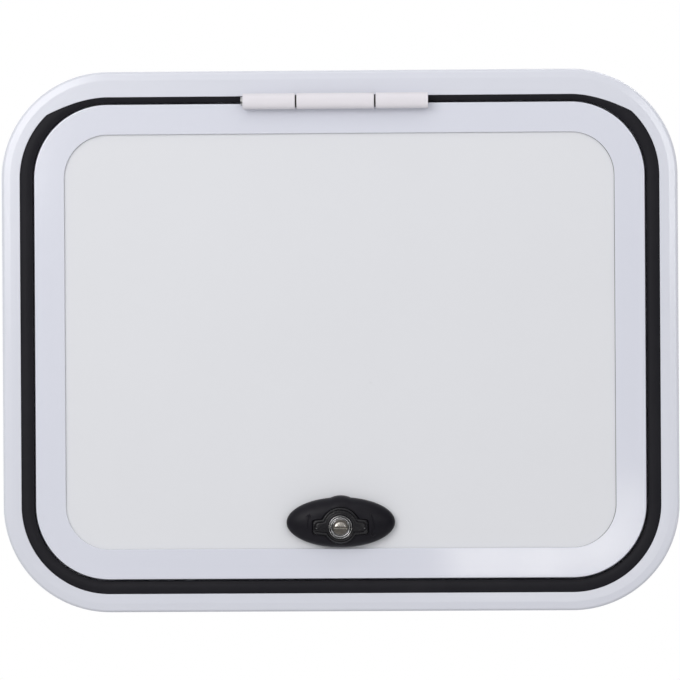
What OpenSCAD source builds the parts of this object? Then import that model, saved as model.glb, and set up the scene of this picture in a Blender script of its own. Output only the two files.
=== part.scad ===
// Top-hinged access door for a caravan wall: a flanged frame, a sandwich leaf in an extruded rim,
// a three-knuckle hinge and an oval turn lock with a key cylinder.
// Millimetres. +X right, +Z up, the outside of the door faces -Y.
// The origin lies on the back of the flange, halfway across its bottom rail.

/* [Frame] */
// Width over the flange
frame_w = 500; // [400:1:800]
// Height over the flange
frame_h = 400; // [330:1:700]
// Outer corner radius of the flange
frame_r = 79; // [66:1:100]
// Cover of the flange over the wall, from its outer edge to the jamb
flange_cover = 17.7; // [16:0.1:24]
// Thickness of the flange
flange_t = 3.2; // [2.4:0.1:5]
// Width of the rolled outer edge
edge_w = 6.5; // [3:0.1:8]
// Height of the flange at its outer lip
lip_t = 1; // [0.6:0.1:1.8]
// Thickness of the flange in the rebate under the seal
rebate_t = 1.4; // [1:0.1:2]
// Wall of the jamb
jamb_t = 1.8; // [1.4:0.1:3]
// Distance from the flange's back to the front of the inner stop, at the jamb's rear
stop_y = 24; // [22:0.5:27]
// Thickness of the inner stop
stop_t = 2; // [1.4:0.1:2.6]
// Width of the inner stop, inwards from the jamb
stop_w = 14.5; // [13:0.5:20]
// Height of the bead along the stop's inner edge
bead_h = 2; // [1:0.1:2.5]
// Width of that bead
bead_w = 1.2; // [0.8:0.1:2]
// Radius of the fixing holes through the jamb
screw_r = 2.1; // [1.5:0.1:3]
// Depth of the fixing holes behind the flange
screw_y = 17; // [14:0.5:20]
// Distance between the two fixing holes in each side rail
screw_pitch_side = 180; // [100:5:200]
// Distance between the two fixing holes in the top and in the bottom rail
screw_pitch_rail = 260; // [180:5:300]

/* [Leaf] */
// Running gap between the jamb and the leaf
leaf_gap = 5; // [4.5:0.1:7]
// How far the leaf's front stands ahead of the flange's back
leaf_proud = 6; // [5.2:0.1:8]
// Thickness of the leaf
leaf_t = 20; // [18:0.5:22]
// Visible width of the rim
rim_w = 22.2; // [16:0.1:23]
// Thickness of the rim's front lip and of its back lip
rim_t = 1.8; // [1.2:0.1:2.5]
// Wall of the rim along the leaf's edge
rim_wall = 2; // [1.4:0.1:3]
// Width of the rim's back lip
rim_back_w = 14; // [10:0.5:16]
// Rounding of the rim's front edge
rim_edge = 2; // [0.8:0.1:3]
// Thickness of the outer and the inner skin
skin_t = 1; // [0.6:0.1:2]

/* [Seals] */
// Distance from the flange's outer edge to the flange seal
seal_in = 13.5; // [10:0.1:15]
// The same along the top, where the seal is narrower
seal_in_top = 18.8; // [17:0.1:19]
// Rise of the seal's crown over the line between its edges
crown_h = 1.6; // [0.6:0.1:2.4]
// Height of the seal's outer edge in the rebate
seal_edge = 0.9; // [0.4:0.1:1.6]
// Drop of the seal's inner edge from the flange's front
seal_drop = 2; // [1:0.1:2.6]
// Gap between the flange seal and the leaf
seal_gap = 1.4; // [1.3:0.1:2.5]
// Thickness of the leg along the jamb
leg_t = 1.8; // [1:0.1:2.2]
// Depth of that leg behind the flange's back
leg_depth = 10; // [5:0.5:12]
// Radius of the bulb on the inner stop
bulb_r = 3.2; // [2.6:0.1:3.6]
// Clearance between the bulb and the closed leaf
seal_clear = 0.3; // [0.2:0.05:0.6]

/* [Hinge] */
// Diameter of the knuckles
knuckle_d = 11.8; // [10:0.1:14]
// Length of each outer knuckle
side_knuckle = 38.6; // [25:0.1:50]
// Length of the middle knuckle
middle_knuckle = 57.2; // [35:0.1:70]
// Gap between the knuckles
knuckle_gap = 1.1; // [0.6:0.1:2]
// Distance of the hinge's middle from the door's centre line
hinge_shift = -2; // [-20:0.5:20]
// Height of the hinge axis over the leaf's top edge
axis_rise = 1.4; // [0.5:0.1:2.5]
// Gap between the knuckles and the leaf's front
knuckle_clear = 0.8; // [0.6:0.1:3]
// Diameter of the pin
pin_d = 4; // [3:0.1:6]
// Diameter of the pin's head
pin_head_d = 6.4; // [5:0.1:9]
// Thickness of the pin's head
pin_head_t = 1.6; // [1:0.1:3]
// Thickness of the hinge plates
plate_t = 2; // [1.5:0.1:2.5]
// Depth of the hinge plates behind the flange's back
plate_depth = 9; // [6:0.5:12]
// Radial clearance of the pin, the key cylinder and its plug
running_fit = 0.05; // [0.02:0.01:0.09]

/* [Lock] */
// Height of the lock's axis over the leaf's bottom edge
lock_rise = 38.3; // [36:0.1:60]
// Width of the oval housing
housing_w = 80.2; // [70:0.1:95]
// Height of the oval housing
housing_h = 37; // [34:0.1:46]
// How far the housing's centre lies above the lock's axis
housing_lift = 3.3; // [0:0.1:5]
// Radius of the round boss that rises above the oval as a small lobe
boss_r = 18; // [15:0.1:20]
// How far the boss's centre lies above the housing's centre
boss_lift = 1.85; // [0.5:0.05:4]
// Straight skirt of the housing
skirt_h = 3; // [1.5:0.1:5]
// Height of the dome over the skirt
dome_h = 9.5; // [6:0.1:14]
// Thickness of the gasket
gasket_t = 0.8; // [0.5:0.1:2]
// Depth of the insert's pocket below the top of the dome
pocket_h = 4; // [3:0.1:6]
// Gap round the insert
insert_gap = 0.4; // [0.3:0.05:0.8]
// How far the insert stands proud of the dome
insert_proud = 0.3; // [0:0.1:1]
// Reach of the insert's wings from the axis
insert_reach = 20.4; // [18:0.1:24]
// Height of the wings
wing_h = 10.4; // [8:0.1:12]
// Reach of the insert's hub above the axis
hub_reach = 14.4; // [12:0.1:15.5]
// Reach of the insert's hub below the axis
hub_low = 12.2; // [11:0.1:12.8]
// Radius of the insert's collar round the key cylinder
collar_r = 10.3; // [9.5:0.1:11]
// How far the collar stands ahead of the dome's top
collar_out = 0.9; // [0.3:0.1:2]
// Radius of the key cylinder's head
face_r = 8.5; // [8:0.1:9]
// How far the head stands ahead of the collar
face_out = 1.2; // [0.6:0.1:2.5]
// Radius of the key cylinder's body
barrel_r = 7.5; // [7:0.1:7.8]
// Gap between that body and its hole in the leaf
barrel_clear = 0.3; // [0.1:0.05:0.5]
// Radius of the key plug
plug_r = 5.5; // [5:0.1:6]
// Depth of the step in the key plug's face
shutter_in = 1.4; // [0.8:0.1:2]
// Radius of the clamping washer behind the leaf
clamp_r = 15; // [13:0.5:17]
// Thickness of the clamping washer
clamp_t = 1.5; // [1:0.1:2.5]
// Width across flats of the nut
nut_af = 22; // [19:0.5:24]
// Thickness of the nut
nut_t = 5; // [4:0.5:7]

/* [Latch] */
// Thickness of the cam
cam_t = 3; // [2:0.1:4]
// Width of the cam
cam_w = 14; // [12:0.5:18]
// Overlap of the latched cam behind the stop
cam_bite = 7; // [5:0.5:8.5]
// Gap between the latched cam and the stop
cam_clear = 1; // [0.6:0.1:1.5]
// Side of the square that drives the cam
square_a = 7; // [5:0.1:7.5]
// Radius of the cam's screw
cam_screw_r = 2.5; // [2:0.1:3]
// Length of that screw in the plug
cam_screw_len = 12; // [8:0.5:16]
// Radius of the cam's washer
washer_r = 8; // [7:0.1:9]
// Thickness of the cam's washer
washer_t = 1.2; // [0.8:0.1:2]
// Width across flats of the cam's screw
screw_af = 10; // [8:0.5:12]
// Height of the cam screw's head
screw_head = 3.5; // [2.5:0.1:5]

/* [Hidden] */
$fn = 64;

// The origin's place on the flange, from its outer edge
seat_in = 9;
// Insets from the flange's outer edge
jamb_mid = flange_cover + jamb_t / 2;
jamb_in = flange_cover + jamb_t;
leaf_in = jamb_in + leaf_gap;
stop_in = jamb_in + stop_w;
// The leaf
leaf_w = frame_w - 2 * leaf_in;
leaf_h = frame_h - 2 * leaf_in;
leaf_r = frame_r - leaf_in;
leaf_back = leaf_proud - leaf_t;
panel_front = leaf_proud - rim_t;
panel_back = leaf_back + rim_t;
panel_w = leaf_w - 2 * rim_wall;
panel_h = leaf_h - 2 * rim_wall;
panel_r = leaf_r - rim_wall;
// The hinge axis, above the door's centre and ahead of the flange's back
axis_up = leaf_h / 2 + axis_rise;
axis_front = leaf_proud + knuckle_clear + knuckle_d / 2;
hinge_len = middle_knuckle + 2 * (side_knuckle + knuckle_gap);
// The lock's axis, and its levels ahead of the flange's back
lock_up = lock_rise - leaf_h / 2;
housing_base = panel_front + gasket_t;
dome_top = housing_base + skirt_h + dome_h;
pocket_floor = dome_top - pocket_h;
collar_front = dome_top + collar_out;
face_front = collar_front + face_out;
plug_front = face_front - 1;
cam_front = -stop_y - stop_t - cam_clear;
cam_back = cam_front - cam_t;
cam_len = lock_rise + leaf_gap - stop_w + cam_bite;

// Stands a shape drawn face up, with y up the door and z forwards, into its place in the wall
module upright() {
    translate([0, 0, frame_h / 2 - seat_in]) rotate([90, 0, 0]) children();
}

// Puts a shape on the lock's axis
module at_lock() {
    upright() translate([0, lock_up, 0]) children();
}

// Sweeps a section round a rounded rectangle, with x inwards from its outer edge and y forwards
module ring_sweep(w, h, r) {
    for (side = [0:3]) {
        run = side % 2 == 0 ? h : w;
        half = (side % 2 == 0 ? w : h) / 2;
        rotate(90 * side) {
            translate([half, 0, 0]) rotate([90, 0, 0])
                linear_extrude(run - 2 * r, center = true) mirror([1, 0]) children();
            translate([half - r, run / 2 - r, 0])
                rotate_extrude(angle = 90) translate([r, 0]) mirror([1, 0]) children();
        }
    }
}

// Outline of a rounded rectangle, with each corner an arc of short chords
function rounded(w, h, r, steps = 14) = [
    for (corner = [0:3], k = [0:steps])
        let (a = 90 * (corner + k / steps), sx = corner == 0 || corner == 3 ? 1 : -1, sy = corner < 2 ? 1 : -1)
        [sx * (w / 2 - r) + r * cos(a), sy * (h / 2 - r) + r * sin(a)]];

// Points of an arc from one angle to another
function arc(centre, r, from, to, steps = 5) = [
    for (k = [0:steps]) let (a = from + (to - from) * k / steps) centre + r * [cos(a), sin(a)]];

// A bar along X with its middle at a height and a level
module rod(r, len, from, up, front) {
    translate([from, up, front]) rotate([0, 90, 0]) cylinder(r = r, h = len);
}

// A block between two corners
module block(low, high) {
    translate(low) cube(high - low);
}

// Section of the frame: flange with a rolled edge and a rebate, jamb, and inner stop with its bead
module frame_section() {
    drop = flange_t - lip_t;
    roll_r = (edge_w * edge_w + drop * drop) / (2 * drop);
    roll_a = asin(edge_w / roll_r);
    polygon(concat(
        [[0, 0]],
        arc([edge_w, flange_t - roll_r], roll_r, 90 + roll_a, 90),
        [[seal_in, flange_t], [seal_in, rebate_t], [jamb_in, rebate_t],
         [jamb_in, -stop_y], [stop_in - bead_w, -stop_y],
         [stop_in - bead_w, bead_h - stop_y], [stop_in, bead_h - stop_y], [stop_in, -stop_y - stop_t],
         [flange_cover, -stop_y - stop_t], [flange_cover, 0]]));
}

// Area above the top line, which curves down to the kink where it meets each corner's arc
module top_area() {
    corner = [frame_w / 2 - frame_r, frame_h / 2 - frame_r];
    reach = frame_r - seal_in;
    kink = reach * [cos(46.5), sin(46.5)];
    start = [0, frame_r - seal_in_top];
    handle = start + [0.3 * reach, 0];
    steps = 7;
    half = concat(
        [for (k = [0:steps]) let (t = k / steps)
            corner + start * (1 - t) * (1 - t) + handle * 2 * t * (1 - t) + kink * t * t],
        [corner + 2 * kink]);
    polygon(concat(half, [for (k = [steps + 1:-1:0]) [-half[k].x, half[k].y]]));
}

// Fills the rebate above the top line, where the flange is wider
module top_web() {
    inset = seal_in - 2;
    translate([0, 0, rebate_t / 2]) linear_extrude(flange_t - rebate_t / 2) intersection() {
        top_area();
        polygon(rounded(frame_w - 2 * inset, frame_h - 2 * inset, frame_r - inset));
    }
}

module frame_ring() {
    color("whitesmoke") upright() difference() {
        union() {
            ring_sweep(frame_w, frame_h, frame_r) frame_section();
            top_web();
        }
        for (s = [-1, 1], t = [-1, 1]) {
            translate([s * (frame_w / 2 - jamb_mid), t * screw_pitch_side / 2, -screw_y])
                rotate([0, 90, 0]) cylinder(r = screw_r, h = 3 * jamb_t, center = true);
            translate([s * screw_pitch_rail / 2, t * (frame_h / 2 - jamb_mid), -screw_y])
                rotate([90, 0, 0]) cylinder(r = screw_r, h = 3 * jamb_t, center = true);
        }
    }
}

// Section of the flange seal: a crowned bead from the rebate towards the leaf, and a leg on the jamb
module seal_section() {
    outer = [seal_in, rebate_t + seal_edge];
    inner = [leaf_in - seal_gap, flange_t - seal_drop];
    steps = 10;
    polygon(concat(
        [[seal_in, rebate_t]],
        [for (k = [0:steps]) outer + (inner - outer) * k / steps + [0, crown_h * sin(180 * k / steps)]],
        [[inner.x, inner.y - rebate_t], [jamb_in + leg_t, inner.y - 2 * rebate_t],
         [jamb_in + leg_t, -leg_depth], [jamb_in, -leg_depth], [jamb_in, rebate_t]]));
}

module flange_seal() {
    side = hinge_len / 2 + 0.2;
    color("#2c2c30") upright() difference() {
        ring_sweep(frame_w, frame_h, frame_r) seal_section();
        translate([0, 0, rebate_t / 2]) linear_extrude(3 * flange_t) top_area();
        block([hinge_shift - side, frame_h / 2 - leaf_in, -leg_depth - 1],
            [hinge_shift + side, frame_h / 2 - seal_in, 3 * flange_t]);
    }
}

// Section of the bulb seal: a foot on the stop, with a bulb up to the closed leaf
module bulb_section() {
    middle = stop_in - bead_w - bulb_r - 1.5;
    top = leaf_back - seal_clear;
    translate([middle, top - bulb_r]) circle(r = bulb_r);
    translate([middle - bulb_r - 1.5, -stop_y]) square([2 * bulb_r + 3, bead_h]);
    translate([middle - bulb_r / 2, -stop_y]) square([bulb_r, top - bulb_r + stop_y]);
}

module stop_seal() {
    color("#2c2c30") upright() ring_sweep(frame_w, frame_h, frame_r) bulb_section();
}

// A knuckle with its plate running back through the gap, and the bore for the pin
module knuckle(from, len, plate_low) {
    upright() difference() {
        union() {
            rod(knuckle_d / 2, len, from, axis_up, axis_front);
            block([from, plate_low, -plate_depth], [from + len, plate_low + plate_t, axis_front]);
        }
        rod(pin_d / 2 + running_fit, len + 2, from - 1, axis_up, axis_front);
    }
}

module hinge_knuckle_left() {
    color("#efece9") knuckle(hinge_shift - hinge_len / 2, side_knuckle, frame_h / 2 - jamb_in - plate_t);
}

module hinge_knuckle_right() {
    color("#efece9")
        knuckle(hinge_shift + hinge_len / 2 - side_knuckle, side_knuckle, frame_h / 2 - jamb_in - plate_t);
}

module hinge_knuckle_middle() {
    color("#efece9") knuckle(hinge_shift - middle_knuckle / 2, middle_knuckle, leaf_h / 2);
}

module hinge_pin() {
    from = hinge_shift - hinge_len / 2;
    color("silver") upright() {
        rod(pin_d / 2, hinge_len, from, axis_up, axis_front);
        rod(pin_head_d / 2, pin_head_t, from - pin_head_t, axis_up, axis_front);
    }
}

module hinge_washer(side) {
    middle = hinge_shift + side * (middle_knuckle + knuckle_gap) / 2;
    thick = knuckle_gap - 0.2;
    color("#2c2c30") upright() difference() {
        rod(knuckle_d / 2 - 1.2, thick, middle - thick / 2, axis_up, axis_front);
        rod(pin_d / 2 + running_fit, 2 * thick, middle - thick, axis_up, axis_front);
    }
}

// Section of the leaf's rim: front lip with a rounded edge, wall, and back lip
module rim_section() {
    polygon(concat(
        [[0, leaf_back]],
        arc([rim_edge, leaf_proud - rim_edge], rim_edge, 180, 90),
        [[rim_w - rim_t / 2, leaf_proud], [rim_w, leaf_proud - rim_t / 2], [rim_w, panel_front],
         [rim_wall, panel_front], [rim_wall, panel_back], [rim_back_w, panel_back], [rim_back_w, leaf_back]]));
}

module leaf_rim() {
    color("#e4e7ee") upright() ring_sweep(leaf_w, leaf_h, leaf_r) rim_section();
}

// One layer of the sandwich panel, with the hole for the lock's body
module layer(back, front) {
    upright() difference() {
        translate([0, 0, back]) linear_extrude(front - back) polygon(rounded(panel_w, panel_h, panel_r));
        translate([0, lock_up, back - 1]) cylinder(r = barrel_r + barrel_clear, h = front - back + 2);
    }
}

module outer_skin() {
    color("#e9eaee") layer(panel_front - skin_t, panel_front);
}

module foam_core() {
    color("#dfe3d6") layer(panel_back + skin_t, panel_front - skin_t);
}

module inner_skin() {
    color("#e9eaee") layer(panel_back, panel_back + skin_t);
}

// An ellipse round the housing's centre, or round the boss above it, drawn smaller by a factor
module oval(w, h, size, steps = 60) {
    polygon([for (k = [0:steps - 1]) let (a = 360 * k / steps) size / 2 * [w * cos(a), h * sin(a)]]);
}

// A straight skirt and a dome of stacked ovals, with the dome's top moved forwards by a small rise
module stack(w, h, rise) {
    steps = 6;
    translate([0, 0, housing_base]) hull() {
        linear_extrude(skirt_h + rise) oval(w, h, 1);
        for (k = [1:steps]) {
            a = 84 * k / steps;
            translate([0, 0, skirt_h])
                linear_extrude(rise + dome_h * sin(a) / sin(84)) oval(w, h, 0.4 + 0.6 * cos(a));
        }
    }
}

// The oval dome, and the round boss that makes a small lobe at its top
module dome(rise) {
    translate([0, housing_lift, 0]) stack(housing_w, housing_h, rise);
    translate([0, housing_lift + boss_lift, 0]) stack(2 * boss_r, 2 * boss_r, rise);
}

// Half of the insert's outline, from the tip of the right wing over the hub to the left one
function insert_half(hub, wing, tip) =
    let (quarter = concat([[tip, wing - 2], [tip - 1, wing - 0.4], [tip - 2, wing]],
        arc([0, 0], hub, asin((wing + 0.6) / hub), 90, 6)), last = len(quarter) - 1)
    concat(quarter, [for (k = [last - 1:-1:0]) [-quarter[k].x, quarter[k].y]]);

// Outline of the insert: a round hub, larger above than below, that runs out into two wings
module insert_outline(grow) {
    wing = wing_h / 2 + grow;
    tip = insert_reach + grow;
    polygon(concat(insert_half(hub_reach + grow, wing, tip),
        [for (p = insert_half(hub_low + grow, wing, tip)) -p]));
}

module lock_housing() {
    color("#28272c") at_lock() difference() {
        dome(0);
        translate([0, 0, pocket_floor]) linear_extrude(dome_h) insert_outline(insert_gap);
        translate([0, 0, housing_base - 1]) cylinder(r = barrel_r + running_fit, h = dome_top);
    }
}

// The insert follows the dome and rises to a collar round the key cylinder
module lock_insert() {
    color("#242328") at_lock() translate([0, 0, pocket_floor]) difference() {
        union() {
            intersection() {
                translate([0, 0, -pocket_floor]) dome(insert_proud);
                linear_extrude(dome_h) insert_outline(0);
            }
            cylinder(r = collar_r, h = collar_front - pocket_floor);
        }
        translate([0, 0, -1]) cylinder(r = face_r + running_fit, h = dome_top);
    }
}

module lock_gasket() {
    color("#1f1f22") at_lock() difference() {
        translate([0, housing_lift, panel_front]) linear_extrude(gasket_t) union() {
            oval(housing_w, housing_h, 0.985);
            translate([0, boss_lift]) oval(2 * boss_r, 2 * boss_r, 0.985);
        }
        translate([0, 0, panel_front - 1]) cylinder(r = barrel_r + barrel_clear, h = gasket_t + 2);
    }
}

// The key cylinder: a head with a grooved face, and a body back to the cam
module lock_barrel() {
    groove = 0.7;
    bore = plug_r + running_fit;
    rear = cam_front + 0.3;
    color("#b9b9bd") at_lock() rotate_extrude() polygon([
        [bore, rear], [barrel_r, rear], [barrel_r, pocket_floor], [face_r, pocket_floor],
        [face_r, face_front - 0.4], [face_r - 0.2, face_front], [face_r - groove, face_front],
        [face_r - groove, face_front - groove], [face_r - 2 * groove, face_front - groove],
        [face_r - 2 * groove, face_front], [bore + 0.6, face_front], [bore, face_front - 0.6]]);
}

module lock_washer() {
    color("#c9c4b8") at_lock() translate([0, 0, panel_back - clamp_t]) difference() {
        cylinder(r = clamp_r, h = clamp_t);
        translate([0, 0, -1]) cylinder(r = barrel_r + running_fit, h = clamp_t + 2);
    }
}

module lock_nut() {
    color("#c9c4b8") at_lock() translate([0, 0, panel_back - clamp_t - nut_t]) difference() {
        cylinder(r = nut_af / sqrt(3), h = nut_t, $fn = 6);
        translate([0, 0, -1]) cylinder(r = barrel_r + running_fit, h = nut_t + 2);
    }
}

// The plug, with the lower half of its face set back for the shutter, and the square for the cam
module key_plug() {
    color("#8f8a80") at_lock() difference() {
        union() {
            translate([0, 0, cam_front]) cylinder(r = plug_r, h = plug_front - cam_front);
            translate([0, 0, cam_back + 0.2]) linear_extrude(cam_t) square(square_a, center = true);
        }
        translate([-plug_r - 1, -plug_r - 1, plug_front - shutter_in]) cube([2 * plug_r + 2, plug_r + 1, 3]);
        translate([0, 0, cam_back - 1]) cylinder(r = cam_screw_r + running_fit, h = cam_screw_len + 1);
    }
}

module key_shutter() {
    thick = 0.7;
    color("#6f675e") at_lock() intersection() {
        translate([0, 0, plug_front - shutter_in]) cylinder(r = plug_r - 0.2, h = thick);
        translate([-plug_r, -plug_r, plug_front - 3]) cube([2 * plug_r, plug_r, 4]);
    }
}

// The cam points right when the lock is open and turns down behind the stop
module cam() {
    tip_r = cam_w / 2;
    color("#b4b4b8") at_lock() translate([0, 0, cam_back]) difference() {
        union() {
            cylinder(r = cam_w * 0.8, h = cam_t);
            translate([0, -cam_w / 2, 0]) cube([cam_len - tip_r, cam_w, cam_t]);
            translate([cam_len - tip_r, 0, 0]) cylinder(r = tip_r, h = cam_t);
        }
        translate([0, 0, -1]) linear_extrude(cam_t + 2) square(square_a + 2 * running_fit, center = true);
    }
}

module cam_washer() {
    color("#c8c8cc") at_lock() translate([0, 0, cam_back - washer_t]) difference() {
        cylinder(r = washer_r, h = washer_t);
        translate([0, 0, -1]) cylinder(r = cam_screw_r + running_fit, h = washer_t + 2);
    }
}

module cam_screw() {
    color("#c8c8cc") at_lock() {
        translate([0, 0, cam_back - washer_t - screw_head]) cylinder(r = screw_af / sqrt(3), h = screw_head, $fn = 6);
        translate([0, 0, cam_back - washer_t]) cylinder(r = cam_screw_r, h = cam_screw_len);
    }
}

frame_ring();
flange_seal();
stop_seal();
hinge_knuckle_left();
hinge_knuckle_right();
hinge_pin();
hinge_washer(-1);  // hinge_washer_left
hinge_washer(1);  // hinge_washer_right
leaf_rim();
outer_skin();
foam_core();
inner_skin();
hinge_knuckle_middle();
lock_housing();
lock_insert();
lock_gasket();
lock_barrel();
lock_washer();
lock_nut();
key_plug();
key_shutter();
cam();
cam_washer();
cam_screw();
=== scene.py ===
import math
import bpy
import numpy as np
from mathutils import Matrix, Vector


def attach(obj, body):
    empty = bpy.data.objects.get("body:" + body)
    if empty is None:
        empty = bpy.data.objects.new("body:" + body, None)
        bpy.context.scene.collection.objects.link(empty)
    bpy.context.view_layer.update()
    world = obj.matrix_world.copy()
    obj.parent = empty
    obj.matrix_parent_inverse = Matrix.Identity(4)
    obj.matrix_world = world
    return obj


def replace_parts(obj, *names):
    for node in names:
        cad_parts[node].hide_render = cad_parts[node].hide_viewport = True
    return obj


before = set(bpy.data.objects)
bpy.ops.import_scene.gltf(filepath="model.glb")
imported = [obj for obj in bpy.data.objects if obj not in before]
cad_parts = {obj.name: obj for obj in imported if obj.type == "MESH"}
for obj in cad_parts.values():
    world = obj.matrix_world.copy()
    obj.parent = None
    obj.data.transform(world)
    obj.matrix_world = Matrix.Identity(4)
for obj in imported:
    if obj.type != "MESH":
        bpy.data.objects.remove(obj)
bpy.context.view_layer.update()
scene = bpy.context.scene

# Viewpoint: nearly straight on to the door from 3.5 m with a long lens, and turned by a third of a degree,
# because the door hangs a touch anticlockwise in the picture.
eye, aim = Vector((0.10, -3.5, 0.1915)), Vector((0.0001, -0.003, 0.1916))
camera = bpy.data.objects.new("camera", bpy.data.cameras.new("camera"))
camera.data.lens = 250.6
ahead = (aim - eye).normalized()
right = ahead.cross(Vector((0.0061, 0, 1))).normalized()
turned = Matrix((right, right.cross(ahead), -ahead)).transposed().to_4x4()
camera.matrix_world = Matrix.Translation(eye) @ turned
scene.collection.objects.link(camera)
scene.camera = camera
scene.view_settings.view_transform = "Standard"

# Studio: a white tent, dimmer round the camera and below, with softboxes at the upper left, overhead, at both
# sides and behind. The edge and corner ones stand where the flange's bevel mirrors them, and four small ones
# low at the right, where the glossy rim does.


def add_node(tree, kind, values=(), **attributes):
    """Adds a shader node with these attributes, and sets or joins its sockets by name or number."""
    made = tree.nodes.new(kind)
    for key, value in attributes.items():
        setattr(made, key, value)
    for socket, value in dict(values).items():
        if isinstance(value, bpy.types.NodeSocket):
            tree.links.new(value, made.inputs[socket])
        else:
            made.inputs[socket].default_value = value
    return made


room = bpy.data.worlds.new("studio")
room.use_nodes = True
scene.world = room
sky = room.node_tree
sky.nodes.clear()
rays = add_node(sky, "ShaderNodeLightPath")
toward = add_node(sky, "ShaderNodeTexCoord").outputs["Generated"]
upper_left = add_node(sky, "ShaderNodeVectorMath", {0: toward, 1: (-0.45, -0.2, 0.87)},
                      operation="DOT_PRODUCT")
rise = add_node(sky, "ShaderNodeMapRange", {0: upper_left.outputs["Value"], 1: -0.4, 2: 0.7})
curve = add_node(sky, "ShaderNodeMath", {0: rise.outputs[0], 1: 3.0}, operation="POWER")
tent = add_node(sky, "ShaderNodeMath", {0: curve.outputs[0], 1: 0.5, 2: 0.05}, operation="MULTIPLY_ADD")
depth = add_node(sky, "ShaderNodeSeparateXYZ", {0: toward})
wall = add_node(sky, "ShaderNodeMapRange", {0: depth.outputs["Y"], 1: 0.0, 2: 0.3},
                interpolation_type="SMOOTHSTEP")
around = add_node(sky, "ShaderNodeMix", {0: wall.outputs[0], 2: tent.outputs[0], 3: 1.0}, data_type="FLOAT")
mirrored = add_node(sky, "ShaderNodeMath", {0: rays.outputs["Is Glossy Ray"],
                    1: rays.outputs["Is Transmission Ray"]}, operation="MAXIMUM")
room_light = 0.665
light = add_node(sky, "ShaderNodeMix", {0: mirrored.outputs[0], 2: room_light, 3: around.outputs[0]},
                 data_type="FLOAT")
shown = add_node(sky, "ShaderNodeMix", {0: rays.outputs["Is Camera Ray"], 2: light.outputs[0], 3: 1.0},
                 data_type="FLOAT")
dome = add_node(sky, "ShaderNodeBackground", {"Color": (1, 1, 1, 1), "Strength": shown.outputs[0]})
add_node(sky, "ShaderNodeOutputWorld", {0: dome.outputs[0]})

for label, place, size, watts, tint in (
        ("key_softbox", (-1.14, -2.3, 1.12), (1.4, 1.1), 19.7, (1.0, 0.99, 0.98)),
        ("left_softbox", (-1.9, -2.6, 0.45), (0.6, 1.3), 2, (1, 1, 1)),
        ("left_edge_softbox", (-1.18, -3.1, 0.47), (0.4, 0.36), 1.85, (1, 1, 1)),
        ("left_corner_softbox", (-0.59, -3.1, 0.5), (0.12, 0.25), 0.5, (1, 1, 1)),
        ("top_softbox", (0.1, -1.6, 1.9), (1.8, 0.7), 3.6, (1, 1, 1)),
        ("right_softbox", (1.9, -2.6, 0.6), (0.6, 1.3), 3.2, (0.98, 0.99, 1.0)),
        ("upper_right_softbox", (1.25, -2.95, 1.45), (0.5, 0.4), 1.5, (0.98, 0.99, 1.0)),
        ("right_edge_softbox", (0.95, -2.95, 0.69), (0.38, 0.86), 4.1, (0.98, 0.99, 1.0)),
        ("rear_softbox", (0.9, 2.3, 1.5), (1.4, 1.4), 30, (1, 1, 1)),
        ("low_softbox_left", (0.105, -1.6, -0.043), (0.07, 0.05), 0.055, (1.0, 0.97, 0.88)),
        ("low_softbox_middle", (0.170, -1.6, -0.045), (0.05, 0.05), 0.045, (1.0, 0.97, 0.88)),
        ("low_softbox_corner", (0.225, -1.6, -0.036), (0.05, 0.05), 0.037, (1.0, 0.97, 0.88)),
        ("low_softbox_right", (0.261, -1.6, -0.004), (0.04, 0.08), 0.035, (1.0, 0.97, 0.88))):
    lamp = bpy.data.objects.new(label, bpy.data.lights.new(label, "AREA"))
    lamp.data.shape, lamp.data.size, lamp.data.size_y = "RECTANGLE", *size
    lamp.data.energy, lamp.data.color = watts, tint
    lamp.location = place
    lamp.rotation_euler = (aim - Vector(place)).to_track_quat("-Z", "Y").to_euler()
    scene.collection.objects.link(lamp)

# Floor: a pale painted floor well below the door, which hangs in the wall at this height.
# It takes the door's soft shadow, and it is clear from underneath.
floor_half, floor_up = 1.6, -0.32
floor_mesh = bpy.data.meshes.new("floor")
floor_mesh.from_pydata([(x * floor_half, y * floor_half, floor_up) for x, y in ((-1, -1), (1, -1), (1, 1), (-1, 1))],
                       [], [(0, 1, 2, 3)])
floor = bpy.data.objects.new("floor", floor_mesh)
scene.collection.objects.link(floor)
paint = bpy.data.materials.new("floor_paint")
paint.use_nodes = True
tree = paint.node_tree
tree.nodes.clear()
on_floor = add_node(tree, "ShaderNodeTexCoord").outputs["Object"]
mottle = add_node(tree, "ShaderNodeTexNoise", {"Vector": on_floor, "Scale": 3.0})
pale = add_node(tree, "ShaderNodeMapRange", {0: mottle.outputs[0], 3: 0.50, 4: 0.54})
matt = add_node(tree, "ShaderNodeBsdfDiffuse", {"Color": pale.outputs[0]})
glow = add_node(tree, "ShaderNodeEmission", {"Strength": 1.0})
seen = add_node(tree, "ShaderNodeLightPath")
bright = add_node(tree, "ShaderNodeMath", {0: seen.outputs["Is Camera Ray"], 1: 0.5}, operation="MULTIPLY")
top_side = add_node(tree, "ShaderNodeMixShader", {0: bright.outputs[0], 1: matt.outputs[0], 2: glow.outputs[0]})
radius = add_node(tree, "ShaderNodeVectorMath", {0: on_floor}, operation="LENGTH")
fade = add_node(tree, "ShaderNodeMapRange", {0: radius.outputs["Value"], 1: 0.7, 2: 1.5},
                interpolation_type="SMOOTHSTEP")
back = add_node(tree, "ShaderNodeNewGeometry").outputs["Backfacing"]
clear = add_node(tree, "ShaderNodeMath", {0: back, 1: fade.outputs[0]}, operation="MAXIMUM")
nothing = add_node(tree, "ShaderNodeBsdfTransparent").outputs[0]
under = add_node(tree, "ShaderNodeMixShader", {0: clear.outputs[0], 1: top_side.outputs[0], 2: nothing})
add_node(tree, "ShaderNodeOutputMaterial", {0: under.outputs[0]})
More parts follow.
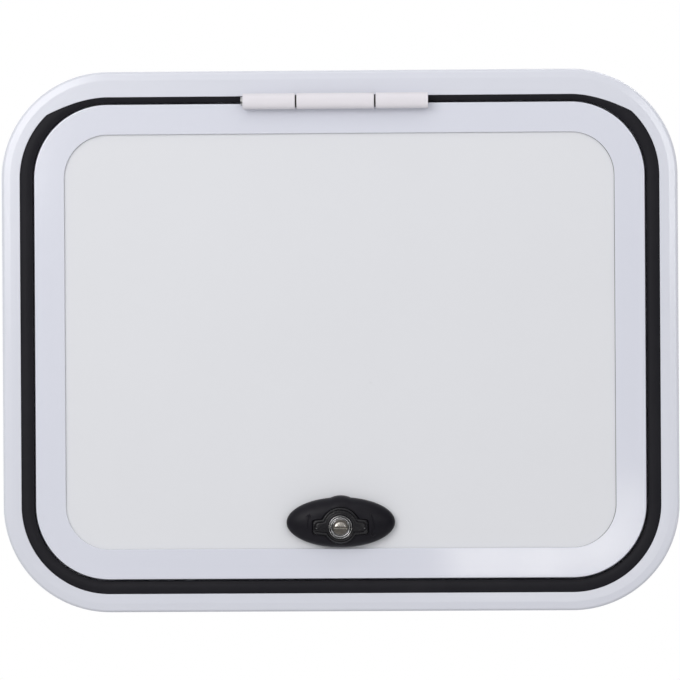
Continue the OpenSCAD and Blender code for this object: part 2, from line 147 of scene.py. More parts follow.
floor_mesh.materials.append(paint)

# Frame: one length of aluminium extrusion, bent to a rounded rectangle and coated white. Its flange has a bevelled
# and rounded outer edge and a rebate for the seal, narrower along the top. The jamb, and the stop with a lip for
# the bulb seal's foot, lie behind. Sizes are in mm, as insets from the outer edge and heights ahead of the wall.
frame_w, frame_h, frame_r, middle_up = 500.0, 400.0, 79.0, 191.0
seal_in, seal_in_top, kink_deg, bow_handle = 13.5, 18.8, 46.5, 0.3
flange_t, rebate_t, edge_w, lip_t = 3.2, 1.4, 6.5, 1.0
bevel_w, bevel_drop, bevel_deg, edge_r = 4.3, 0.45, 6, 2.0
jamb_out, jamb_in, stop_in, stop_front, stop_back = 17.7, 19.5, 34.0, -24.0, -26.0
foot_in, foot_front = 32.8, -22.0
corner_steps = 60


def on_wall(x, up, front):
    """A point x to the right of and up from the door's middle, and ahead of the wall, in mm, put into the scene."""
    x, up, front = np.broadcast_arrays(x, up, front)
    return np.stack([x, -front, up + middle_up], -1) * 0.001


def round_path(w, h, r):
    """Outer points and outward normals round a rectangle with corner arcs: each corner's centre plus
    r times the direction at even angles, so that two neighbouring corners leave the straight side between them."""
    turn = np.radians(np.concatenate([90.0 * q + np.linspace(0, 90, corner_steps + 1) for q in range(4)]))
    normal = np.stack([np.cos(turn), np.sin(turn)], -1)
    quarter = np.repeat(np.arange(4), corner_steps + 1)
    centre = np.stack([np.where((quarter == 0) | (quarter == 3), 1, -1) * (w / 2 - r),
                       np.where(quarter < 2, 1, -1) * (h / 2 - r)], -1)
    return centre + r * normal, normal


def soften(points, radii, steps=5):
    """Rounds the corners of closed outlines, shape (..., corners, 2): each corner becomes a quadratic curve
    between two points at its radius from it, with the corner as the curve's middle handle."""
    points = np.asarray(points, float)
    before, after = np.roll(points, 1, -2) - points, np.roll(points, -1, -2) - points
    reach = np.asarray(radii, float)[:, None]
    first = points + before / np.linalg.norm(before, axis=-1, keepdims=True) * reach
    last = points + after / np.linalg.norm(after, axis=-1, keepdims=True) * reach
    t = np.linspace(0, 1, steps)[:, None]
    curve = (first[..., None, :] * (1 - t) ** 2 + points[..., None, :] * 2 * t * (1 - t)
             + last[..., None, :] * t ** 2)
    return curve.reshape(*points.shape[:-2], -1, 2)


def carry(section, w, h, r):
    """Carries a section round the rounded rectangle. Its first number is the inset from the outer edge and
    its second the height ahead of the wall: each point is the path's point less its normal times the inset."""
    edge, normal = round_path(w, h, r)
    section = np.broadcast_to(section, (len(edge), *np.shape(section)[-2:]))
    flat = edge[:, None, :] - normal[:, None, :] * section[..., :1]
    return on_wall(flat[..., 0], flat[..., 1], section[..., 1])


def piece(name, parts, body, material, bent=40):
    """Makes a piece from closed surfaces, each given as loops of points, shape (loops, points, 3), and whether
    flat ends close it. Quads join neighbouring loops; without ends the last loop joins the first. The signed
    volume, a sum of a x b . c over the faces, tells whether a surface is inside out and its faces turn round.
    Known fault: the lids of flat ends are wound against the sides, so they face inward, and they count in the
    sum with the wrong sign. It turns the rivets' round heads on the outer knuckles inside out."""
    points, faces, start = [], [], 0
    for grid, ends in parts:
        loops, count = grid.shape[:2]
        i, j = np.meshgrid(np.arange(loops - 1 if ends else loops), np.arange(count), indexing="ij")
        up, side = (i + 1) % loops, (j + 1) % count
        quads = np.stack([i * count + j, up * count + j, up * count + side, i * count + side], -1).reshape(-1, 4)
        flat = grid.reshape(-1, 3)
        a, b, c, d = (flat[quads[:, k]] for k in range(4))
        volume = np.einsum("ij,ij->", a, np.cross(b, c)) + np.einsum("ij,ij->", a, np.cross(c, d))
        lids = [np.arange(count)[::-1], np.arange(count) + (loops - 1) * count] if ends else []
        for lid in lids:
            fan = flat[lid]
            volume += np.einsum("j,ij->", fan[0], np.cross(fan[1:-1], fan[2:]))
        turn = -1 if volume < 0 else 1
        faces += (quads[:, ::turn] + start).tolist() + [(lid[::turn] + start).tolist() for lid in lids]
        points.append(flat)
        start += len(flat)
    mesh = bpy.data.meshes.new(name)
    mesh.from_pydata(np.concatenate(points).tolist(), [], faces)
    mesh.polygons.foreach_set("use_smooth", np.ones(len(mesh.polygons), bool))
    mesh.set_sharp_from_angle(angle=math.radians(bent))
    mesh.update()
    mesh.materials.append(material)
    made = bpy.data.objects.new(name, mesh)
    scene.collection.objects.link(made)
    level = made.modifiers.new("flat_faces", "WEIGHTED_NORMAL")
    level.keep_sharp = True
    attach(made, body)
    return made


def seal_edge():
    """Inset of the seal's outer edge at each point of the path. Along the top it bows down to a kink, kink_deg
    up each corner's arc: a quadratic curve in t from start by handle to kink, read as radius against angle."""
    reach = frame_r - seal_in
    kink = reach * np.array([math.cos(math.radians(kink_deg)), math.sin(math.radians(kink_deg))])
    start = np.array([0, frame_r - seal_in_top])
    handle = start + (bow_handle * reach, 0)
    t = np.linspace(1, 0, 60)[:, None]
    bow = start * (1 - t) ** 2 + handle * 2 * t * (1 - t) + kink * t ** 2
    angle = np.radians(np.linspace(0, 90, corner_steps + 1))
    inset = frame_r - np.interp(angle, np.arctan2(bow[:, 1], bow[:, 0]), np.hypot(bow[:, 0], bow[:, 1]),
                                left=reach)
    return np.concatenate([inset, inset[::-1], np.full(2 * (corner_steps + 1), seal_in)])


def open_group(name, **inputs):
    """Starts a shader group with these inputs. Gives it with its input sockets and the object's coordinates."""
    group = bpy.data.node_groups.new(name, "ShaderNodeTree")
    for label, kind in inputs.items():
        group.interface.new_socket(label, in_out="INPUT", socket_type=kind)
    for label, kind in (("Color", colour_kind), ("Roughness", number_kind), ("Normal", vector_kind)):
        group.interface.new_socket(label, in_out="OUTPUT", socket_type=kind)
    given = group.nodes.new("NodeGroupInput").outputs
    return group, given, add_node(group, "ShaderNodeTexCoord").outputs["Object"]


def close_group(group, colour, roughness, normal):
    """Ends a shader group by joining its three outputs, and gives it back."""
    add_node(group, "NodeGroupOutput", {"Color": colour, "Roughness": roughness, "Normal": normal})
    return group


colour_kind, number_kind, vector_kind = "NodeSocketColor", "NodeSocketFloat", "NodeSocketVector"


def coat_group():
    """Sprayed coat: broad changes of tone, fine orange peel, a few dust specks, and roughness that wanders."""
    group, given, place = open_group("sprayed_coat", Color=colour_kind, Tone=number_kind, Peel=number_kind,
                                     Specks=number_kind, Roughness=number_kind)
    broad = add_node(group, "ShaderNodeTexNoise", {"Vector": place, "Scale": 7.0, "Detail": 3.0, "Roughness": 0.55})
    fine = add_node(group, "ShaderNodeTexNoise", {"Vector": place, "Scale": 700.0, "Detail": 2.0, "Roughness": 0.6})
    swing = add_node(group, "ShaderNodeMapRange", {0: broad.outputs[0], 1: 0.2, 2: 0.8, 3: -1.0, 4: 1.0},
                     interpolation_type="SMOOTHSTEP")
    amount = add_node(group, "ShaderNodeMath", {0: swing.outputs[0], 1: given["Tone"], 2: 1.0},
                      operation="MULTIPLY_ADD")
    toned = add_node(group, "ShaderNodeVectorMath", {0: given["Color"], "Scale": amount.outputs[0]},
                     operation="SCALE")
    cells = add_node(group, "ShaderNodeTexVoronoi", {"Vector": place, "Scale": 42.0})
    tiny = add_node(group, "ShaderNodeMapRange", {0: cells.outputs["Distance"], 1: 0.010, 2: 0.018,
                    3: 1.0, 4: 0.0})
    pick = add_node(group, "ShaderNodeSeparateColor", {0: cells.outputs["Color"]})
    chosen = add_node(group, "ShaderNodeMath", {0: pick.outputs[0], 1: 0.94}, operation="GREATER_THAN")
    speck = add_node(group, "ShaderNodeMath", {0: tiny.outputs[0], 1: chosen.outputs[0]}, operation="MULTIPLY")
    share = add_node(group, "ShaderNodeMath", {0: speck.outputs[0], 1: given["Specks"]}, operation="MULTIPLY")
    dusted = add_node(group, "ShaderNodeMix", {0: share.outputs[0], 6: toned.outputs[0],
                      7: (0.25, 0.23, 0.21, 1)}, data_type="RGBA")
    rough = add_node(group, "ShaderNodeMath", {0: swing.outputs[0], 1: 0.03, 2: given["Roughness"]},
                     operation="MULTIPLY_ADD")
    peel = add_node(group, "ShaderNodeBump", {"Strength": given["Peel"], "Distance": 0.0002,
                    "Height": fine.outputs[0]})
    return close_group(group, dusted.outputs[2], rough.outputs[0], peel.outputs[0])


sprayed_coat = coat_group()


def finish_with(name, group, values, **fixed):
    """A material whose colour, roughness and normal come from a group, with the shader's other sockets fixed."""
    made = bpy.data.materials.new(name)
    made.use_nodes = True
    tree = made.node_tree
    tree.nodes.clear()
    use = add_node(tree, "ShaderNodeGroup", node_tree=group)
    for label, value in values.items():
        use.inputs[label].default_value = value
    shader = add_node(tree, "ShaderNodeBsdfPrincipled", {"Base Color": use.outputs["Color"],
                      "Roughness": use.outputs["Roughness"], "Normal": use.outputs["Normal"]})
    for label, value in fixed.items():
        shader.inputs[label.replace("_", " ")].default_value = value
    add_node(tree, "ShaderNodeOutputMaterial", {0: shader.outputs[0]})
    return made


def dress(node, material):
    """Gives a CAD node its finish in place of the plain colour it comes with."""
    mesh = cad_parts[node].data
    mesh.materials.clear()
    mesh.materials.append(material)


frame_coat = finish_with("frame_coat", sprayed_coat, {"Color": (0.685, 0.70, 0.775, 1), "Tone": 0.008,
                         "Peel": 0.10, "Specks": 0.3, "Roughness": 0.36}, Coat_Weight=1.0, Coat_Roughness=0.15)
rebate_edge = seal_edge()[:, None]
slope = np.linspace(0, 1, 6)
gentle = np.stack([edge_w - bevel_w * slope, flange_t - bevel_drop * slope], -1)
bevel = math.radians(bevel_deg)
bend = np.radians(np.linspace(bevel_deg, 90 - bevel_deg, 9))[1:]
corner = gentle[-1] + edge_r * np.stack([math.sin(bevel) - np.sin(bend), np.cos(bend) - math.cos(bevel)], -1)
rounded = np.concatenate([gentle, corner])[::-1]
outline = [(0, 0), (0, lip_t - 0.2)] + [tuple(point) for point in rounded]
radii = [0.2, 0.1] + [0.05] * len(rounded)
behind_edge = [(jamb_in, rebate_t), (jamb_in, stop_front), (foot_in, stop_front), (foot_in, foot_front),
               (stop_in, foot_front), (stop_in, stop_back), (jamb_out, stop_back), (jamb_out, 0)]
fixed_part = np.array(outline + behind_edge)
sections = np.broadcast_to(fixed_part, (len(rebate_edge), *fixed_part.shape))
lips = np.stack([np.concatenate([rebate_edge, rebate_edge], 1),
                 np.broadcast_to([flange_t, rebate_t], (len(rebate_edge), 2))], -1)
sections = np.concatenate([sections[:, :len(outline)], lips, sections[:, len(outline):]], 1)
radii += [0.35, 0.1, 0.1, 0.3, 0.2, 0.4, 0.4, 0.5, 0.5, 0.2]
frame_rings = carry(soften(sections, radii, 4), frame_w, frame_h, frame_r)
frame_shape = piece("frame_extrusion", [(frame_rings, False)], "frame", frame_coat)
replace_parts(frame_shape, "frame_ring")

# Flange seal: black rubber pushed into the rebate, crowned like a bead, with a leg along the jamb. It is
# narrower along the top and left out behind the hinge; its skin is matt with a faint cloudy bloom.


def rubber_group():
    """Rubber: fine grain, a cloudy bloom on the skin, and roughness that follows the bloom."""
    group, given, place = open_group("rubber_skin", Color=colour_kind, Bloom=colour_kind, Grain=number_kind,
                                     Roughness=number_kind)
    cloud = add_node(group, "ShaderNodeTexNoise", {"Vector": place, "Scale": 28.0, "Detail": 5.0, "Roughness": 0.65})
    fine = add_node(group, "ShaderNodeTexNoise", {"Vector": place, "Scale": 1600.0, "Detail": 2.0, "Roughness": 0.7})
    share = add_node(group, "ShaderNodeMapRange", {0: cloud.outputs[0], 1: 0.42, 2: 0.72, 3: 0.0, 4: 0.55})
    both = add_node(group, "ShaderNodeMix", {0: share.outputs[0], 6: given["Color"], 7: given["Bloom"]},
                    data_type="RGBA")
    rough = add_node(group, "ShaderNodeMath", {0: cloud.outputs[0], 1: 0.12, 2: given["Roughness"]},
                     operation="MULTIPLY_ADD")
    bump = add_node(group, "ShaderNodeBump", {"Strength": given["Grain"], "Distance": 0.0002,
                    "Height": fine.outputs[0]})
    return close_group(group, both.outputs[2], rough.outputs[0], bump.outputs[0])


def bead_height(inset):
    """Height of the seal's crown at an inset: a line from its outer to its inner edge plus a half sine wave."""
    share = (inset - seal_in) / (inner_edge - seal_in)
    return crown_outer - crown_fall * share + crown_rise * np.sin(math.pi * share)


rubber_skin = rubber_group()
seal_rubber = finish_with("seal_rubber", rubber_skin, {"Color": (0.012, 0.0115, 0.0155, 1),
                          "Bloom": (0.018, 0.0175, 0.0215, 1), "Grain": 0.35, "Roughness": 0.48},
                          Specular_IOR_Level=0.16)
inner_edge, leg_in, leg_back = 23.1, 21.3, -10.0
crown_outer, crown_fall, crown_rise = 2.2, 0.3, 1.1
share = np.linspace(0, 1, 15)
seal_top = rebate_edge + (inner_edge - rebate_edge) * share
crown = np.stack([seal_top, bead_height(seal_top)], -1)
leg = [(inner_edge, -0.2), (leg_in, -1.6), (leg_in, leg_back), (jamb_in, leg_back), (jamb_in, rebate_t)]
rest = np.broadcast_to(leg, (len(crown), len(leg), 2))
foot = np.stack([rebate_edge, np.full_like(rebate_edge, rebate_t)], -1)
seal_radii = [0.3] + [0.05] * 13 + [0.3] * 5 + [0.05] * 2
seal_section = soften(np.concatenate([crown, rest, foot], 1), seal_radii, 4)
seal_rings = carry(seal_section, frame_w, frame_h, frame_r)
hinge_left, hinge_right = -70.5, 66.5
top_right, top_left = corner_steps, corner_steps + 1
cut_right, cut_left = seal_rings[top_right].copy(), seal_rings[top_left].copy()
cut_right[:, 0], cut_left[:, 0] = hinge_right * 0.001, hinge_left * 0.001
seal_rings = np.concatenate([cut_left[None], seal_rings[top_left:], seal_rings[:top_right + 1], cut_right[None]])
seal_shape = piece("flange_seal_bead", [(seal_rings, True)], "frame", seal_rubber)
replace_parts(seal_shape, "flange_seal")

# Stop seal: a rubber bulb on a stalk and foot, pressed on to the stop behind the leaf. It is extruded from the
# same rubber, and the leaf's back edge comes to rest on the bulb.
bulb_in, bulb_front, bulb_r, stalk_half, bulb_foot_in = 28.1, -17.5, 3.2, 1.6, 23.4
swing = np.radians(np.linspace(30, 330, 31))
bulb = np.stack([bulb_in + bulb_r * np.sin(swing), bulb_front - bulb_r * np.cos(swing)], -1)
bulb_foot = [(bulb_in - stalk_half, foot_front), (bulb_foot_in, foot_front), (bulb_foot_in, stop_front),
             (foot_in, stop_front), (foot_in, foot_front)]
bulb_section = np.concatenate([[(bulb_in + stalk_half, foot_front)], bulb, bulb_foot])
bulb_radii = [0.5] + [0.1] * len(bulb) + [0.5, 0.4, 0.2, 0.2, 0.4]
bulb_rings = carry(soften(bulb_section, bulb_radii, 3), frame_w, frame_h, frame_r)
bulb_shape = piece("stop_seal_bulb", [(bulb_rings, False)], "frame", seal_rubber)
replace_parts(bulb_shape, "stop_seal")

# Leaf rim: a second coated extrusion, bent round the sandwich panel. Its front lip is smooth and a little
# glossier than the frame, with a rounded outer edge and a small rounded step down to the panel.
leaf_w, leaf_h, leaf_r, leaf_front, leaf_back = 451.0, 351.0, 54.5, 6.0, -14.0
rim_w, rim_back_w, rim_wall, panel_front, panel_back = 22.2, 14.0, 2.0, 4.2, -12.2
rim_coat = finish_with("rim_coat", sprayed_coat, {"Color": (0.695, 0.71, 0.795, 1), "Tone": 0.006, "Peel": 0.05,
                       "Specks": 0.2, "Roughness": 0.30}, Coat_Weight=1.0, Coat_Roughness=0.08)
rim_section = soften([(0, leaf_back), (0, leaf_front), (rim_w, leaf_front), (rim_w, panel_front),
                      (rim_wall, panel_front), (rim_wall, panel_back), (rim_back_w, panel_back),
                      (rim_back_w, leaf_back)], [0.5, 0.9, 0.6, 0.1, 0.2, 0.2, 0.2, 0.5], 8)
rim_rings = carry(rim_section, leaf_w, leaf_h, leaf_r)
rim_shape = piece("leaf_rim_extrusion", [(rim_rings, False)], "leaf", rim_coat)
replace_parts(rim_shape, "leaf_rim")

# Panel: two thin white skins bonded to a foam core. The skins are plain and satin, less blue than the rim. A fine grey
# strip along the rim's lip at the right is painted shade of a groove there, and it fades out round the two corners
# there.
skin_coat = finish_with("skin_coat", sprayed_coat, {"Color": (0.72, 0.728, 0.762, 1), "Tone": 0.006, "Peel": 0.05,
                        "Specks": 0.6, "Roughness": 0.48}, Specular_IOR_Level=0.4)
foam = finish_with("foam", rubber_skin, {"Color": (0.72, 0.74, 0.66, 1), "Bloom": (0.80, 0.81, 0.74, 1), "Grain": 0.8,
                   "Roughness": 0.7})
dress("outer_skin", skin_coat)
dress("inner_skin", skin_coat)
dress("foam_core", foam)
# Painted shade: a grey strip at the foot of the rim's lip stands for the shade in a fine groove. It is widest at the
# right side and is absent at the left, top and bottom.
joint_grey = finish_with("joint_grey", rubber_skin, {"Color": (0.20, 0.20, 0.20, 1), "Bloom": (0.28, 0.28, 0.28, 1),
                         "Grain": 0.3, "Roughness": 0.6})
facing = round_path(leaf_w, leaf_h, leaf_r)[1]
groove_shade_widest = 0.45
groove_shade_w = groove_shade_widest * np.clip(facing[:, 0], 0, 1)[:, None]
joint = np.stack([rim_w + groove_shade_w * (-0.3, -0.3, 0.8, 1.0),
                  np.broadcast_to((4.1, 4.5, 4.45, 4.1), (len(groove_shade_w), 4))], -1)
piece("panel_groove_shade", [(carry(joint, leaf_w, leaf_h, leaf_r), False)], "leaf", joint_grey)

# Hinge: three white coated knuckles on a steel pin. The outer two are riveted to the jamb and the middle
# one to the leaf's top edge; dark plastic washers show in the gaps, and the pin's head at the left end.
axis_up, axis_front, knuckle_r, bore_r = 176.9, 12.7, 5.9, 2.05
oval_power, oval_front = 0.72, 0.905
plate_back, plate_front, plate_r = -9.0, axis_front - 3.0, 0.3


def turned_x(profile, steps=96):
    """Turns a closed profile of (x, radius) points round the hinge axis: up = radius x cosine, front = radius x sine.
    The front half is a squarer oval outside, sine and cosine to oval_power, that blends to the round bore."""
    angle = np.linspace(0, 2 * math.pi, steps, endpoint=False)
    x, r = np.asarray(profile, float).T[..., None]
    c, s = np.cos(angle), np.sin(angle)
    outer = np.clip((r - bore_r) / (knuckle_r - bore_r), 0, 1) * (s > 0)
    up = c * (1 - outer) + np.sign(c) * np.abs(c) ** oval_power * outer
    front = s * (1 - outer) + oval_front * np.abs(s) ** oval_power * outer
    return on_wall(x, axis_up + r * up, axis_front + r * front)


def slab(low, high, r, steps=4):
    """A plate with rounded edges: loops along x at x0 + r (1 - sine) and x1 - r (1 - sine), each a softened
    rectangle in up and front that is drawn in by r (1 - cosine)."""
    (x0, u0, f0), (x1, u1, f1) = low, high
    t = np.linspace(math.pi / 2, 0, steps)
    x = np.concatenate([x0 + r * (1 - np.sin(t)), (x1 - r * (1 - np.sin(t)))[::-1]])
    shrink = np.concatenate([r * (1 - np.cos(t)), (r * (1 - np.cos(t)))[::-1]])
    corners = np.stack([np.stack([u0 + shrink, f0 + shrink], -1), np.stack([u1 - shrink, f0 + shrink], -1),
                        np.stack([u1 - shrink, f1 - shrink], -1), np.stack([u0 + shrink, f1 - shrink], -1)], 1)
    loop = soften(corners, [r] * 4, 4)
    return on_wall(x[:, None], loop[..., 0], loop[..., 1])


def rivet(x, up, front, side, r=2.4, high=0.7):
    """A round rivet head on a plate: circles of radius r x cosine at the height high x sine, up or down from it.
    The first loop lies inside the plate."""
    angle = np.linspace(0, 2 * math.pi, 40, endpoint=False)
    rise = np.radians([0, 0, 15, 30, 45, 60, 75, 86])[:, None]
    level = np.array([-0.3, 0, 0, 0, 0, 0, 0, 0])[:, None] + high * np.sin(rise)
    return on_wall(x + r * np.cos(rise) * np.cos(angle), up + side * level,
                   front + r * np.cos(rise) * np.sin(angle))


hinge_coat = finish_with("hinge_coat", sprayed_coat, {"Color": (0.745, 0.72, 0.765, 1), "Tone": 0.006, "Peel": 0.05,
                         "Specks": 0.2, "Roughness": 0.36}, Coat_Weight=0.15, Coat_Roughness=0.15)
rivet_in, rivet_front = 8, -3.5
for node, body, x0, x1, low, high in (("hinge_knuckle_left", "frame", -70.3, -31.8, 178.5, 180.5),
                                      ("hinge_knuckle_middle", "leaf", -30.5, 26.5, 175.5, 177.5),
                                      ("hinge_knuckle_right", "frame", 27.8, 66.3, 178.5, 180.5)):
    tube = turned_x(soften([(x0, bore_r), (x0, knuckle_r), (x1, knuckle_r), (x1, bore_r)], [0.2, 0.3, 0.3, 0.2], 6))
    plate = slab((x0, low, plate_back), (x1, high, plate_front), plate_r)
    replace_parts(piece(node + "_casting", [(tube, False), (plate, True)], body, hinge_coat), node)
    face, side = (low, -1) if body == "frame" else (high, 1)
    rivets = [(rivet(x, face, rivet_front, side), True) for x in (x0 + rivet_in, x1 - rivet_in)]
    piece(node + "_rivets", rivets, body, hinge_coat)


def metal_group():
    """Worked metal: fine scratches stretched along one axis, a mottled plating, and roughness that follows both."""
    group, given, place = open_group("worked_metal", Color=colour_kind, Dull=colour_kind, Stretch=vector_kind,
                                     Scratch=number_kind, Roughness=number_kind)
    along = add_node(group, "ShaderNodeVectorMath", {0: place, 1: given["Stretch"]}, operation="MULTIPLY")
    lines = add_node(group, "ShaderNodeTexNoise", {"Vector": along.outputs[0], "Scale": 1.0, "Detail": 3.0,
                     "Roughness": 0.6})
    cloud = add_node(group, "ShaderNodeTexNoise", {"Vector": place, "Scale": 220.0, "Detail": 4.0, "Roughness": 0.6})
    share = add_node(group, "ShaderNodeMapRange", {0: cloud.outputs[0], 1: 0.4, 2: 0.7, 3: 0.0, 4: 0.6})
    both = add_node(group, "ShaderNodeMix", {0: share.outputs[0], 6: given["Color"], 7: given["Dull"]},
                    data_type="RGBA")
    mixed = add_node(group, "ShaderNodeMath", {0: lines.outputs[0], 1: cloud.outputs[0]}, operation="ADD")
    rough = add_node(group, "ShaderNodeMath", {0: mixed.outputs[0], 1: 0.12, 2: given["Roughness"]},
                     operation="MULTIPLY_ADD")
    bump = add_node(group, "ShaderNodeBump", {"Strength": given["Scratch"], "Distance": 0.0001,
                    "Height": lines.outputs[0]})
    return close_group(group, both.outputs[2], rough.outputs[0], bump.outputs[0])


worked_metal = metal_group()
pin_steel = finish_with("pin_steel", worked_metal, {"Color": (0.55, 0.55, 0.56, 1), "Dull": (0.40, 0.39, 0.38, 1),
                        "Stretch": (60, 3000, 3000), "Scratch": 0.4, "Roughness": 0.18}, Metallic=1.0)
washer_plastic = finish_with("washer_plastic", rubber_skin, {"Color": (0.020, 0.015, 0.013, 1),
                             "Bloom": (0.03, 0.023, 0.019, 1), "Grain": 0.2, "Roughness": 0.45})
dress("hinge_pin", pin_steel)
dress("hinge_washer_left", washer_plastic)
dress("hinge_washer_right", washer_plastic)

# Lock housing: an oval cap of black plastic with a dome, and a round boss that shows as a small lobe at its
# top, clamped on to the panel over a gasket. A pocket in it, a hub with two wings, takes the insert.
lock_up, lift, half_w, half_h = -137.2, 3.3, 40.1, 18.5
boss_r, boss_lift = 18.0, 1.85
base_front, skirt_front, dome_h, pocket_floor = 5.0, 8.0, 9.5, 13.5
housing_bore, gasket_bore, pocket_gap = 7.6, 7.8, 0.4
wing_half, wing_tip, hub_top_r, hub_low_r = 5.2, 20.4, 14.4, 12.2
ray = np.linspace(0, 2 * math.pi, 720, endpoint=False)


def dome_front(x, y):
    """Front of the housing: the higher of the oval and the boss. In each, a point's share of the full size,
    less 0.4 and over 0.6, is the cosine of an angle, and the dome rises by its sine."""
    def rise(w, h, middle):
        size = np.sqrt((x / w) ** 2 + ((y - middle) / h) ** 2)
        return np.sqrt(1 - np.clip((size - 0.4) / 0.6, 0, 1) ** 2)
    return skirt_front + dome_h * np.maximum(rise(half_w, half_h, lift), rise(boss_r, boss_r, lift + boss_lift))


def oval_outline():
    """The housing seen from the lock's axis: each ray meets an ellipse at the larger root of a quadratic,
    and the farther of oval and boss counts."""
    def reach(w, h, middle):
        a = (np.cos(ray) / w) ** 2 + (np.sin(ray) / h) ** 2
        b = -2 * np.sin(ray) * middle / h ** 2
        return (-b + np.sqrt(b * b - 4 * a * ((middle / h) ** 2 - 1))) / (2 * a)
    out = np.maximum(reach(half_w, half_h, lift), reach(boss_r, boss_r, lift + boss_lift))
    return np.stack([out * np.cos(ray), out * np.sin(ray)], -1)


def wing_outline(grow):
    """The insert seen from the axis, grown by a distance: each ray meets the straight edge that spans its angle."""
    wing, tip = wing_half + grow, wing_tip + grow

    def half(hub):
        turn = np.linspace(math.asin((wing + 0.6) / hub), math.pi / 2, 12)
        right = np.concatenate([[(tip, wing - 2), (tip - 1, wing - 0.4), (tip - 2, wing)],
                                np.stack([hub * np.cos(turn), hub * np.sin(turn)], -1)])
        return np.concatenate([right, (right[:-1] * (-1, 1))[::-1]])
    ring = np.concatenate([half(hub_top_r + grow), -half(hub_low_r + grow)])
    run = np.roll(ring, -1, 0) - ring
    u = np.stack([np.cos(ray), np.sin(ray)], -1)[:, None]
    cross = u[..., 0] * run[:, 1] - u[..., 1] * run[:, 0]
    out = (ring[:, 0] * run[:, 1] - ring[:, 1] * run[:, 0]) / np.where(np.abs(cross) < 1e-12, 1e-12, cross)
    at = u * out[..., None]
    share = ((at - ring) * run).sum(-1) / np.maximum((run ** 2).sum(-1), 1e-12)
    good = (out > 0) & (share > -1e-6) & (share < 1 + 1e-6)
    return u[:, 0] * np.where(good, out, 1e9).min(1)[:, None]


def circle(r):
    """Points at r times the direction of each ray."""
    return np.stack([r * np.cos(ray), r * np.sin(ray)], -1)


def lock_loop(flat, front):
    """Flat points round the lock's axis, put into the scene at a height ahead of the wall."""
    return on_wall(flat[:, 0], flat[:, 1] + lock_up, front)


def plastic_group():
    """Moulded plastic: spark-eroded grain, and broad flow marks that change its gloss."""
    group, given, place = open_group("moulded_plastic", Color=colour_kind, Grain=number_kind,
                                     Roughness=number_kind)
    pits = add_node(group, "ShaderNodeTexVoronoi", {"Vector": place, "Scale": 2600.0})
    flow = add_node(group, "ShaderNodeTexNoise", {"Vector": place, "Scale": 60.0, "Detail": 3.0})
    tone = add_node(group, "ShaderNodeMapRange", {0: flow.outputs[0], 1: 0.3, 2: 0.7, 3: 0.85, 4: 1.15})
    toned = add_node(group, "ShaderNodeVectorMath", {0: given["Color"], "Scale": tone.outputs[0]},
                     operation="SCALE")
    rough = add_node(group, "ShaderNodeMath", {0: flow.outputs[0], 1: 0.14, 2: given["Roughness"]},
                     operation="MULTIPLY_ADD")
    bump = add_node(group, "ShaderNodeBump", {"Strength": given["Grain"], "Distance": 0.0001,
                    "Height": pits.outputs[0]})
    return close_group(group, toned.outputs[0], rough.outputs[0], bump.outputs[0])


moulded_plastic = plastic_group()
black_plastic = finish_with("black_plastic", moulded_plastic, {"Color": (0.0105, 0.0098, 0.0135, 1), "Grain": 0.2,
                            "Roughness": 0.30}, Specular_IOR_Level=0.14)
pocket, oval = wing_outline(pocket_gap), oval_outline()
loops = [lock_loop(circle(housing_bore), base_front), lock_loop(circle(housing_bore), pocket_floor),
         lock_loop(pocket, pocket_floor), lock_loop(pocket, dome_front(*pocket.T) - 0.35)]
for share in np.sin(np.linspace(0, math.pi / 2, 44)):
    at = pocket + (oval - pocket) * (0.02 + 0.98 * share)
    loops.append(lock_loop(at, dome_front(*at.T)))
loops += [lock_loop(oval, front) for front in (7.0, 6.0, base_front + 0.4)]
loops.append(lock_loop(oval * 0.992, base_front))
housing = piece("lock_housing_cap", [(np.array(loops), False)], "leaf", black_plastic, bent=50)
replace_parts(housing, "lock_housing")

loops = [lock_loop(circle(gasket_bore), panel_front), lock_loop(circle(gasket_bore), base_front)]
loops += [lock_loop(oval * share, front) for share, front in ((0.982, base_front), (0.985, 4.85), (0.986, 4.6),
                                                              (0.985, 4.35), (0.982, panel_front))]
gasket = piece("lock_gasket_sheet", [(np.array(loops), False)], "leaf", seal_rubber)
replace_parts(gasket, "lock_gasket")

# Lock insert: a second black moulding, set in the pocket a hair proud of the dome. It has a raised bead along
# its edge, a groove inside that, and a round collar with a deep chamfer for the key cylinder.
insert_plastic = finish_with("insert_plastic", moulded_plastic, {"Color": (0.0075, 0.007, 0.0095, 1), "Grain": 0.15,
                             "Roughness": 0.20}, Specular_IOR_Level=0.45)
collar_front, collar_r, hole_r = 18.4, 10.3, 8.6
collar = [(hole_r, pocket_floor), (hole_r, collar_front - 0.9), (9.4, collar_front - 0.05), (9.6, collar_front),
          (10.05, collar_front), (collar_r, collar_front - 0.25)]
loops = [lock_loop(circle(r), front) for r, front in collar]
loops.append(lock_loop(circle(collar_r), dome_front(*circle(collar_r).T) + 0.2))
reached = circle(collar_r)
for inset, proud in ((3.2, 0.2), (2.5, 0.2), (2.2, 0.05), (2.0, -0.3), (1.8, -0.3), (1.6, 0.15), (1.4, 0.6),
                     (1.1, 0.75), (0.8, 0.7), (0.5, 0.5), (0.3, 0.3), (0.1, 0.1), (0.0, -0.1)):
    at = wing_outline(-inset)
    least = np.linalg.norm(reached, axis=1) + 0.01
    reached = at * np.maximum(1, least / np.linalg.norm(at, axis=1))[:, None]
    loops.append(lock_loop(reached, dome_front(*reached.T) + proud))
loops.append(lock_loop(reached, pocket_floor))
insert = piece("lock_insert_moulding", [(np.array(loops), False)], "leaf", insert_plastic, bent=50)
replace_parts(insert, "lock_insert")

# Lock marks: two turning arrows raised on the housing, and on each wing of the insert a raised padlock sign
# with a small lighter grey dot on it. One padlock's bow is swung aside.
arrow_w, arrow_h, barb_long, barb_turn = 1.0, 0.55, 3.2, 0.55
sign_w, sign_h, mark_lift = 0.5, 0.25, 0.2


